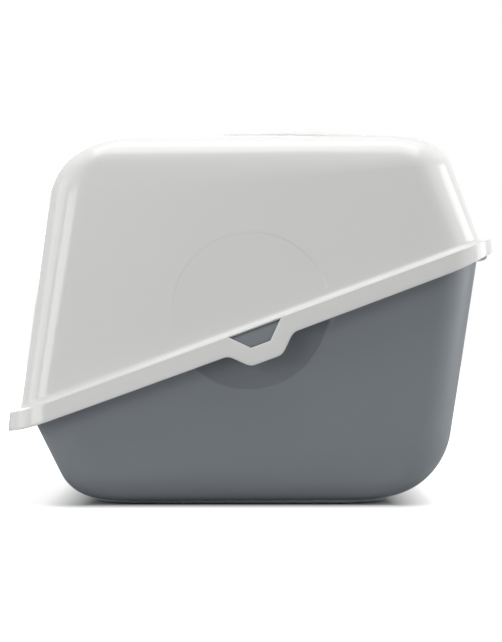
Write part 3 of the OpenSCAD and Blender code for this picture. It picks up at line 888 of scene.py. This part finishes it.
def newMaterial(name, look):
    material = bpy.data.materials.new(name)
    material.use_nodes = True
    tree = material.node_tree
    shader = tree.nodes["Principled BSDF"]
    finish = tree.nodes.new("ShaderNodeGroup")
    finish.node_tree = plastic
    finish.inputs["Colour"].default_value = (*look["colour"], 1)
    for socket, key in (("Tone", "tone"), ("Shine", "rough"), ("Cloud", "cloud"), ("Grain size", "grain"),
                        ("Grain depth", "depth")):
        finish.inputs[socket].default_value = look[key]
    colour = finish.outputs["Colour"]
    if "disc" in look:
        # The recess is darker than the wall round it, over the share that markDisc writes
        mark = tree.nodes.new("ShaderNodeAttribute")
        mark.attribute_name = "disc"
        given = {"Value": mark.outputs["Fac"], "To Min": 1.0, "To Max": look["disc"]}
        tone = addNode(tree, "MapRange", given)
        colour = addNode(tree, "VectorMath", {0: colour, "Scale": tone.outputs[0]}, "SCALE").outputs[0]
    bump = addNode(tree, "Bump", {"Strength": look["bump"], "Distance": look["distance"],
                                  "Height": finish.outputs["Height"]})
    tree.links.new(colour, shader.inputs["Base Color"])
    tree.links.new(finish.outputs["Roughness"], shader.inputs["Roughness"])
    tree.links.new(bump.outputs["Normal"], shader.inputs["Normal"])
    shader.inputs["IOR"].default_value = look["ior"]
    return material


looks = {
    "hood": {
        "colour": (0.78, 0.78, 0.77), "tone": 0.02, "rough": 0.16, "cloud": 0.05,
        "grain": 160.0, "depth": 1.0, "bump": 0.12, "distance": 0.0002, "ior": 1.5,
    },
    "collar": {
        "colour": (0.76, 0.76, 0.75), "tone": 0.02, "rough": 0.22, "cloud": 0.05,
        "grain": 220.0, "depth": 1.0, "bump": 0.12, "distance": 0.0002, "ior": 1.5,
    },
    "tray": {
        "colour": (0.237, 0.260, 0.287), "tone": 0.06, "rough": 0.42, "cloud": 0.08,
        "grain": 1500.0, "depth": 1.0, "bump": 0.25, "distance": 0.0002, "ior": 1.49, "disc": 0.66,
    },
    "pads": {
        "colour": (0.02, 0.02, 0.021), "tone": 0.2, "rough": 0.7, "cloud": 0.1,
        "grain": 700.0, "depth": 1.0, "bump": 0.3, "distance": 0.0002, "ior": 1.5,
    },
}


def paint(piece, material):
    piece.data.materials.clear()
    piece.data.materials.append(material)


hoodPiece = makeHood()
collarPiece = makeCollar()
trayPiece = makeTray()
padPieces = makePads()
paint(hoodPiece, newMaterial("glossyWhite", looks["hood"]))
paint(collarPiece, newMaterial("collarWhite", looks["collar"]))
paint(trayPiece, newMaterial("matteGrey", looks["tray"]))
padMaterial = newMaterial("padRubber", looks["pads"])
for pad in padPieces:
    paint(pad, padMaterial)
print("materials made")


# Studio

studio = {
    "cameraDistance": 2.2, "cameraHeight": 0.199, "focal": 1895, "pictureHeight": 642,  # both in pixels
    "sensor": 36, "clipEnd": 100,
    "world": 0.05, "reflected": 0.9,
    "floorHalf": 6.0, "floorColour": 0.55, "floorRough": 0.9, "floorShine": 0.1,
    # Two distances from the foot in metres, and the glow at each
    "nearGlow": (0, 0.055, 0, 0.8),
    "farGlow": (0.3, 1.5, 0, 0.3),
}

# Each lamp's place, aim, width and height, and power
lamps = {
    "topFront": ((0, -0.35, 1.6), (0, -0.1, 0.2), (1.5, 1.2), 17.2),
    "topBack": ((0, 0.3, 1.6), (0, 0, 0.2), (1.5, 1.2), 4),
    "left": ((-1.25, -1.45, 0.35), (0, 0, 0.2), (0.9, 1.0), 10.5),
    "leftSide": ((-1.5, -0.3, 0.5), (0, 0, 0.2), (0.8, 1.0), 4),
    "right": ((1.5, 0, 0.4), (0, 0, 0.2), (0.8, 1.3), 14),
    "rightFront": ((1.4, -0.9, 0.6), (0, 0, 0.2), (0.9, 1.3), 3.8),
    "back": ((-0.5, 2.0, 0.9), (0, 0, 0.2), (1.2, 1.2), 12),
}
white = (1, 1, 1, 1)


def makeCamera(scene):
    camera = bpy.data.objects.new("camera", bpy.data.cameras.new("camera"))
    scene.collection.objects.link(camera)
    camera.location = (0, -studio["cameraDistance"], studio["cameraHeight"])
    camera.rotation_euler = (math.pi / 2, 0, 0)
    camera.data.sensor_width = studio["sensor"]
    camera.data.lens = studio["focal"] * studio["sensor"] / studio["pictureHeight"]
    camera.data.clip_end = studio["clipEnd"]
    scene.camera = camera


def makeWorld(scene):
    # White to the camera, nearly white in reflections and dim as a light
    world = bpy.data.worlds.new("studioWhite")
    world.use_nodes = True
    scene.world = world
    tree = world.node_tree
    path = tree.nodes.new("ShaderNodeLightPath").outputs
    given = {"Value": path["Is Camera Ray"], "To Min": studio["world"], "To Max": 1.0}
    seen = addNode(tree, "MapRange", given)
    gloss = addNode(tree, "Math", {0: path["Is Glossy Ray"], 1: studio["reflected"]}, "MULTIPLY")
    most = addNode(tree, "Math", {0: seen.outputs[0], 1: gloss.outputs[0]}, "MAXIMUM")
    back = tree.nodes["Background"]
    tree.links.new(most.outputs[0], back.inputs["Strength"])
    back.inputs["Color"].default_value = white


def makeFloor():
    half = studio["floorHalf"]
    corners = np.array([[-half, -half, 0], [half, -half, 0], [half, half, 0], [-half, half, 0]])
    floor = makeMesh("floor", corners / mm, [[0, 1, 2, 3]])
    material = bpy.data.materials.new("paleFloor")
    material.use_nodes = True
    tree = material.node_tree
    shader = tree.nodes["Principled BSDF"]
    shader.inputs["Base Color"].default_value = (studio["floorColour"],) * 3 + (1,)
    shader.inputs["Roughness"].default_value = studio["floorRough"]
    shader.inputs["Specular IOR Level"].default_value = studio["floorShine"]
    # The floor glows for the camera alone. The glow grows with the distance from the foot's
    # rectangle, first quickly and then slowly, so the shadow stays and the floor meets the white.
    vector = tree.nodes.new("ShaderNodeTexCoord").outputs["Object"]
    middle = [(stand["front"] + stand["back"]) / 2 * mm, 0, 0]
    reach = [(stand["back"] - stand["front"]) / 2 * mm, stand["side"] * mm, 1]
    for operation, given in (("SUBTRACT", {1: middle}), ("ABSOLUTE", {}), ("SUBTRACT", {1: reach}),
                             ("MAXIMUM", {1: (0, 0, 0)})):
        vector = addNode(tree, "VectorMath", {0: vector, **given}, operation).outputs[0]
    away = addNode(tree, "VectorMath", {0: vector}, "LENGTH").outputs["Value"]
    glows = []
    for limits in (studio["nearGlow"], studio["farGlow"]):
        given = dict(zip(("From Min", "From Max", "To Min", "To Max"), limits))
        glows.append(addNode(tree, "MapRange", {"Value": away, **given}).outputs[0])
    both = addNode(tree, "Math", {0: glows[0], 1: glows[1]}, "ADD")
    path = tree.nodes.new("ShaderNodeLightPath")
    glow = addNode(tree, "Math", {0: path.outputs["Is Camera Ray"], 1: both.outputs[0]}, "MULTIPLY")
    tree.links.new(glow.outputs[0], shader.inputs["Emission Strength"])
    shader.inputs["Emission Color"].default_value = white
    floor.data.materials.append(material)


def makeLamp(name, place, aim, size, power):
    light = bpy.data.lights.new(name, "AREA")
    light.energy = power
    light.shape = "RECTANGLE"
    light.size, light.size_y = size
    lamp = bpy.data.objects.new(name, light)
    bpy.context.scene.collection.objects.link(lamp)
    lamp.location = place
    lamp.rotation_euler = (Vector(aim) - Vector(place)).to_track_quat("-Z", "Y").to_euler()


def makeStudio():
    scene = bpy.context.scene
    scene.view_settings.view_transform = "Standard"
    makeCamera(scene)
    makeWorld(scene)
    makeFloor()
    for name, values in lamps.items():
        makeLamp(name, *values)
    print("studio made")


makeStudio()
